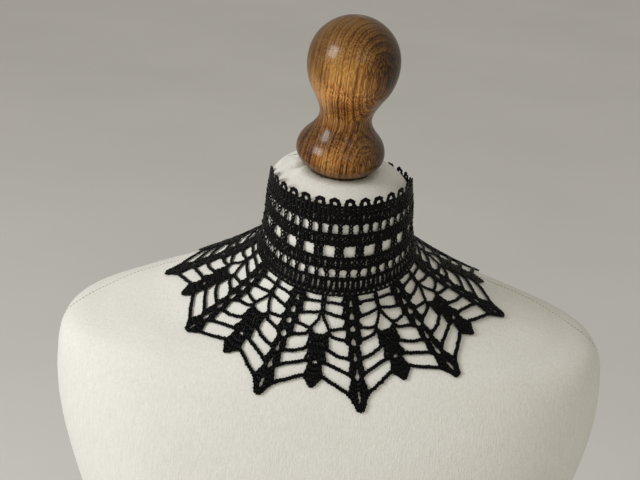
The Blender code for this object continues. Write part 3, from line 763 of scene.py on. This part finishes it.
def cap_level(share, rise, turn, rim):
    """Points of a ring of the cap: rim is its edge, measured from the neck's middle."""
    lean = CAP_LEAN + turn * (KNOB_LEAN - CAP_LEAN)
    nod = CAP_NOD + turn * (KNOB_NOD - CAP_NOD)
    x, y = share * rim[:, 0], share * rim[:, 1]
    return np.stack([x, y + NECK_Y, FORM_HEIGHT - CAP_DROP + rise - lean * x + nod * y], axis=-1)


def cap_edge(angles):
    """Places in the table of rings at which the neck reaches the cap's edge."""
    high, low = np.zeros(len(angles)), np.full(len(angles), float(PLACE["band_lower"]))
    for _ in range(30):
        place = (high + low) / 2
        points = form_points(place, angles)
        level = cap_level(1.0, 0.0, 0.0, points[:, :2] - [0, NECK_Y])[:, 2]
        above = points[:, 2] > level
        high, low = np.where(above, place, high), np.where(above, low, place)
    return place


def pucker(points):
    """How far the jersey rises at points of the cap, in the folds round the knob's base."""
    x, y = points[:, 0] - KNOB_X, points[:, 1] - NECK_Y
    rise = np.zeros(len(points))
    for fold in PUCKERS:
        angle = math.radians(fold.angle)
        along = x * math.sin(angle) - y * math.cos(angle) - KNOB[0].radius
        aside = x * math.cos(angle) + y * math.sin(angle)
        fade = np.clip(1 - along / fold.length, 0, 1) * (along > -0.006)
        rise += fold.height * fade**2 * (3 - 2 * fade) * np.exp(-((aside / fold.half_width) ** 2))
    return rise


def seam_angle(place):
    return np.interp(place, *zip(*SEAM))


def column_angles(place):
    """Angles of the form's columns at a place in the table of rings, with those along a seam close together."""
    seam = math.radians(seam_angle(place))
    half = FORM_COLUMNS // 4
    front = np.linspace(0, seam, half + 1)[:-1]
    back = np.linspace(seam, math.pi, half + 1)[1:]
    reach = float(np.hypot(*(form_points(np.array([place]), np.array([seam]))[0, :2])))
    close = seam + np.array([offset for offset, _ in GROOVE]) / MM / max(reach, 0.05)
    left = np.concatenate([front[:-1], close, back])
    return np.concatenate([left, 2 * math.pi - left[-2:0:-1]])


def groove_depths():
    """How far each column lies out of the form's surface, in metres."""
    quarter = FORM_COLUMNS // 4
    left = np.concatenate([np.zeros(quarter - 1), [depth / MM for _, depth in GROOVE], np.zeros(quarter)])
    return np.concatenate([left, left[-2:0:-1]])


def form_grid():
    """Rows of points from the middle of the cap to the sole."""
    angles = column_angles(PLACE["band_upper"])
    edge = cap_edge(angles)
    rim = form_points(edge, angles)[:, :2] - [0, NECK_Y]
    rows = []
    for at in np.linspace(0, len(CAP) - 1, CAP_ROWS)[1:-1]:
        ring = cap_level(*smooth(CAP, at), rim)
        ring[:, 2] += pucker(ring)
        rows.append(ring)
    neck = [form_points(place, angles) for place in np.linspace(edge, PLACE["band_lower"], NECK_ROWS)]
    body = np.concatenate([
        np.linspace(PLACE[start], PLACE[end], count + 1)[1:] for start, end, count in STRETCHES])
    surface = np.array([form_points(np.full(len(angles), place), column_angles(place)) for place in body])
    normals = outward(np.concatenate([surface, surface[:, :1]], axis=1))[:, :-1]
    fade = np.clip((body - PLACE["band_bottom"]) * 2, 0, 1)
    surface = surface + normals * (groove_depths() * fade[:, None])[:, :, None]
    hem = surface[-1]
    middle = hem.mean(axis=0)
    sole = []
    for rise, share in SOLE_ROWS:
        ring = middle + share * (hem - middle)
        ring[:, 2] = rise
        sole.append(ring)
    return rows + neck + list(surface[:-1]) + sole


def skin(rings, steps):
    """Faces of a skin of rings, open at its last one: a fan round its first point, then quads between rings."""
    k = np.arange(steps)
    n = (k + 1) % steps
    fan = np.stack([np.zeros(steps, int), 1 + n, 1 + k], axis=1)
    starts = 1 + steps * np.arange(rings - 1)[:, None]
    quads = np.stack([starts + k, starts + n, starts + steps + n, starts + steps + k], axis=2)
    return fan.tolist() + quads.reshape(-1, 4).tolist()


def make_form(look):
    rows = form_grid()
    points = np.concatenate([[rows[0].mean(axis=0)]] + rows)
    # The rows run down, so the faces are turned over, and the sole closes the last row.
    faces = [face[::-1] for face in skin(len(rows), len(rows[0]))]
    faces.append(list(range(len(points) - 1, len(points) - len(rows[0]) - 1, -1)))
    obj = add_mesh("form_cover", points, faces, look)
    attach(obj, "root")
    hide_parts("torso")


def make_seam_stitches(look):
    """Short stitches along the shoulder and side seams."""
    stitches = Yarn(SEED)
    stitches.SIDES = 5
    for side in (1, -1):
        places = np.linspace(PLACE["neck_root"], PLACE["hem"] - 0.02, 1600)
        angles = side * np.radians(seam_angle(places))
        points = form_points(places, angles)
        lengths = lengths_along(points)
        middle = np.array([0, BODY_Y + NECK_Y, 0])
        for start in np.arange(0, lengths[-1] - STITCH_PITCH, STITCH_PITCH):
            line = sample(np.linspace(start, start + STITCH_LENGTH, len(STITCH_LIFT)), lengths, points)
            # On the shoulder out of the form is mostly up, and from there down it is mostly sideways.
            out = unit((line - middle) * [1, 0.3, 0])
            out = unit(out + [0, 0, np.clip(1.2 - start * 8, 0, 1)])
            stitches.line(line + np.array(STITCH_LIFT)[:, None] * out, out, STITCH_RADIUS, STITCH_RADIUS)
    obj = stitches.mesh("seam_stitches", look)
    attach(obj, "root")


def turned(name, profile, detail, steps, base, axis, look):
    """A turned mesh that stands at base along axis."""
    places = np.linspace(0, len(profile) - 1, (len(profile) - 1) * detail + 1)
    height, radius = smooth(profile, places)[:-1].T
    turn = np.linspace(0, 2 * math.pi, steps, endpoint=False)
    rings = np.stack([radius[:, None] * np.cos(turn), radius[:, None] * np.sin(turn),
                      np.repeat(height[:, None], steps, axis=1)], axis=-1)
    ends = np.array([[0, 0, profile[0].height], [0, 0, profile[-1].height]])
    own = np.concatenate([ends[:1], rings.reshape(-1, 3), ends[1:]])
    last = len(own) - 1
    faces = skin(len(rings), steps)
    faces += [(last - steps + k, last - steps + (k + 1) % steps, last) for k in range(steps)]
    turned_to = np.array(Vector(axis).to_track_quat("Z", "Y").to_matrix())
    return add_mesh(name, own @ turned_to.T + np.array(base), faces, look, own=own)


def make_knob(look):
    axis = Vector((KNOB_LEAN, -KNOB_NOD, 1.0)).normalized()
    foot = Vector((KNOB_X, NECK_Y, FORM_HEIGHT - CAP_DROP + CAP[1].rise - KNOB_LEAN * KNOB_X))
    obj = turned("finial_knob", KNOB, KNOB_DETAIL, KNOB_STEPS, foot + KNOB_GAP * axis, axis, look)
    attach(obj, "root")
    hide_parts("knob")


def make_buttons(cloth, look):
    for name, up in BUTTONS.items():
        share = BAND_START + 0.5 - BUTTON_ASIDE / cloth.row_length(-up)
        points, normals = cloth.lay([share], [-up])
        base = points[0] + BUTTON_LIFT * normals[0]
        obj = turned("domed_" + name, BUTTON, 3, BUTTON_STEPS, base, normals[0], look)
        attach(obj, "root")
        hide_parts(name)


# ---- lace ----


def creep(side, spines, down):
    """How far up the cloth has moved at a place so many spines from the front, and down millimetres down."""
    share = max(0.0, (down - CREEP_START) / (YOKE_DEPTH - CREEP_START)) ** 2
    near = [row for row in CREEPS if row.side == side and abs(row.spine - spines) < 0.5]
    return sum(row.up * share * math.cos(math.pi * (row.spine - spines)) ** 2 for row in near)


def yoke_spot(cloth, side, spine, beyond, spot):
    """A spot of the half repeat that lies beyond a spine (1) or before it (-1), as a share and a depth."""
    spines = spine + beyond * (1 - spot.across) / 2
    aside = -beyond * spot.aside / MM / cloth.row_length(spot.down)
    return YOKE_START + side * (spines / REPEATS + aside), spot.down - creep(side, spines, spot.down)


def opened(cloth, spot, width):
    """The spot, kept clear of the opening at the back."""
    off = (1 - spot.across) * cloth.row_length(spot.down) * MM / (2 * REPEATS) - spot.aside
    least = LACE_OPENING / 2 * MM + width / 2
    return spot if off >= least else Spot(1, -least, spot.down)


def make_yoke(cloth, name, side, look):
    """A half of the yoke. The spines are counted from the front, and the last one lies at the opening."""
    yarn = Yarn(SEED + side)
    last = REPEATS // 2

    def route(line, spine, beyond):
        spots = [opened(cloth, spot, line.width) if spine == last else spot for spot in line.spots]
        return Route(cloth, [yoke_spot(cloth, side, spine, beyond, spot) for spot in spots])

    for spine, beyond in [(k // 2, 1 - k % 2 * 2) for k in range(2 * last + 2)]:
        if (spine, beyond) in ((0, -1), (last, 1)):
            continue
        for line in CHAINS:
            yarn.chain(route(line, spine, beyond), line.width + CHAIN_SLACK, CHAIN_LINK,
                       core=line.width > CORED_FROM)
        posts = POSTS + (LEAF_POSTS if beyond == 1 else [])
        if beyond == 1 and (spine > 0 or side > 0):
            posts = posts + SPINE_POSTS
        for post in posts:
            yarn.chain(route(post, spine, beyond), post.width + POST_SLACK, POST_LINK,
                       roll=beyond * POST_ROLL, flare=YOKE_FLARE)
    yarn.chain(route(YOKE_EDGE, last, -1), YOKE_EDGE.width, CHAIN_LINK)
    obj = yarn.mesh("crochet_" + name, look)
    finish_lace(cloth, obj, name, (0.0, YOKE_DEPTH))


def make_band(cloth, name, side, look):
    yarn = Yarn(SEED + 10 + side)
    half = STITCHES / 2

    def spot(stitches, up):
        rise = np.interp(stitches, *zip(*RISE)) if side > 0 else 0.0
        return BAND_START + side * stitches / STITCHES, -up - rise * np.clip(up / BAND_HEIGHT, 0, 1.06) ** 2

    def end(up, width):
        """The last stitch whose edge is clear of the opening."""
        return half - (LACE_OPENING / 2 + width / 2 / MM) * STITCHES / cloth.row_length(-up)

    for line in BAND_LINES:
        stops = np.linspace(0, end(line.up, EDGE_WIDTH), 60)
        pitch = cloth.row_length(-line.up) / STITCHES * MM
        yarn.chain(Route(cloth, [spot(stitch, line.up) for stitch in stops]), line.width, pitch, flat=BAND_FLAT)
    for row in POST_ROWS:
        first = row.first if side > 0 or row.first else row.stitches
        for at in np.arange(first, half - 0.3, row.stitches):
            for k in range(row.together):
                stitch = at + (k - (row.together - 1) / 2) * PAIR
                if stitch > end(row.top, 4.0):
                    continue
                lean = yarn.random.normal(0, LOOSE_LEAN)
                route = Route(cloth, [spot(stitch, row.bottom + 0.8), spot(stitch + lean, row.top - 0.6)])
                width = row.width + yarn.random.normal(0, row.loose)
                if row.stitches > 1:
                    width += np.interp(stitch, *zip(*WIDER))
                flare = DENSE_FLARE if row.stitches == 1 else OPEN_FLARE
                roll = yarn.random.normal(POST_ROLL, LOOSE_ROLL)
                yarn.chain(route, width, BAND_POST_LINK, roll=roll, flare=flare, flat=BAND_FLAT)
    for k in range(PICOTS):
        middle = (k + 0.5) * PICOT_STITCHES
        route = Route(cloth, [spot(middle + stitch, up) for stitch, up in PICOT])
        yarn.chain(route, PICOT_WIDTH, PICOT_LINK, flat=PICOT_FLAT)
    edge = [spot(end(up, EDGE_WIDTH), up) for up in np.linspace(*EDGE, 18)]
    yarn.chain(Route(cloth, edge), EDGE_WIDTH, EDGE_WIDTH)
    obj = yarn.mesh("crochet_" + name, look)
    finish_lace(cloth, obj, name, (-BAND_HEIGHT - PICOT_HEIGHT, 0.0))


def make_button_loops(cloth, look):
    """A loop of yarn from the right half of the band round the foot of each button."""
    yarn = Yarn(SEED + 20)
    yarn.SIDES = 8
    for up in BUTTONS.values():
        length = cloth.row_length(-up)
        turn = np.linspace(-math.pi / 2, math.pi / 2, 9)
        bend = [(BUTTON_ASIDE + LOOP_RADIUS * math.cos(t), LOOP_RADIUS * MM * math.sin(t)) for t in turn]
        line = [(aside, -off) for aside, off in LOOP_ENDS] + bend + LOOP_ENDS[::-1]
        route = Route(cloth, [(BAND_START + 0.5 - aside / length, -up - off) for aside, off in line])
        places = np.linspace(0, route.length, 60)
        points, _, out = route.at(places)
        at_ends, least, most = LOOP_LIFTS
        lift = least + (most - least) * np.sin(places / route.length * math.pi)
        lift[:3] = lift[-3:] = at_ends
        yarn.line(points + lift[:, None] * out, out, LOOP_YARN, LOOP_YARN)
    obj = yarn.mesh("button_loops", look)
    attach(obj, "root")


def finish_lace(cloth, obj, node, downs):
    """Attaches half the lace to the root and hides the part's solid that it takes the place of."""
    lengths = cloth.row_length(np.linspace(*downs, 40)) / 2
    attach(obj, "root")
    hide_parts(node)


# ---- camera, light, floor ----

# Where the camera stands, from the photograph's view of the neck.
CAMERA_AZIMUTH = 0.49  # degrees
CAMERA_ELEVATION = 20.43
CAMERA_ROLL = 3.79
CAMERA_DISTANCE = 1.0584
CAMERA_TARGET = (-0.0135, NECK_Y, FORM_HEIGHT - 0.0584)
CAMERA_LENS = 75.366
SENSOR = 36.0


def make_camera():
    azimuth, elevation, roll = (math.radians(a) for a in (CAMERA_AZIMUTH, CAMERA_ELEVATION, CAMERA_ROLL))
    back = Vector((math.sin(azimuth) * math.cos(elevation), -math.cos(azimuth) * math.cos(elevation),
                   math.sin(elevation)))
    right = (-back).cross(Vector((0, 0, 1))).normalized()
    up = back.cross(right)
    rolled = right * math.cos(roll) + up * math.sin(roll)
    data = bpy.data.cameras.new("camera")
    data.sensor_width = SENSOR
    data.lens = CAMERA_LENS
    camera = bpy.data.objects.new("camera", data)
    turn = Matrix((rolled, back.cross(rolled), back)).transposed().to_4x4()
    camera.matrix_world = Matrix.Translation(Vector(CAMERA_TARGET) + back * CAMERA_DISTANCE) @ turn
    bpy.context.scene.collection.objects.link(camera)
    bpy.context.scene.camera = camera


def area_light(name, place, target, size, power, colour):
    data = bpy.data.lights.new(name, "AREA")
    data.shape = "RECTANGLE"
    data.size, data.size_y = size
    data.energy = power
    data.color = colour
    light = bpy.data.objects.new(name, data)
    light.location = place
    light.rotation_euler = (Vector(target) - Vector(place)).to_track_quat("-Z", "Y").to_euler()
    bpy.context.scene.collection.objects.link(light)


def make_stage():
    edge = 14.0
    floor = add_mesh("floor", [(-edge, -edge, 0), (edge, -edge, 0), (edge, edge, 0), (-edge, edge, 0)],
                     [(0, 1, 2, 3)], floor_look())
    world = bpy.data.worlds.new("studio")
    world.use_nodes = True
    background = world.node_tree.nodes["Background"]
    background.inputs["Color"].default_value = (0.95, 0.91, 0.82, 1.0)
    background.inputs["Strength"].default_value = 0.44
    bpy.context.scene.world = world
    middle = (0.0, -0.05, 0.50)
    area_light("window", (-1.60, -0.92, 1.55), middle, (0.8, 0.9), 26.5, (0.98, 0.99, 1.0))
    area_light("room", (0.9, -2.4, 1.9), middle, (1.6, 1.2), 6.0, (1.0, 0.95, 0.85))


def main():
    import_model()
    bpy.context.scene.view_settings.view_transform = "Standard"
    make_camera()
    cloth = Cloth()
    cotton, jersey, wood = cotton_look(), jersey_look(), wood_look()
    make_form(jersey)
    make_seam_stitches(thread_with_painted_shade_look())
    make_knob(wood)
    make_buttons(cloth, button_look())
    make_button_loops(cloth, cotton)
    for name, side in (("left", 1), ("right", -1)):
        make_band(cloth, "band_" + name, side, cotton)
        make_yoke(cloth, "yoke_" + name, side, cotton)
    make_stage()
    bpy.context.view_layer.update()


main()
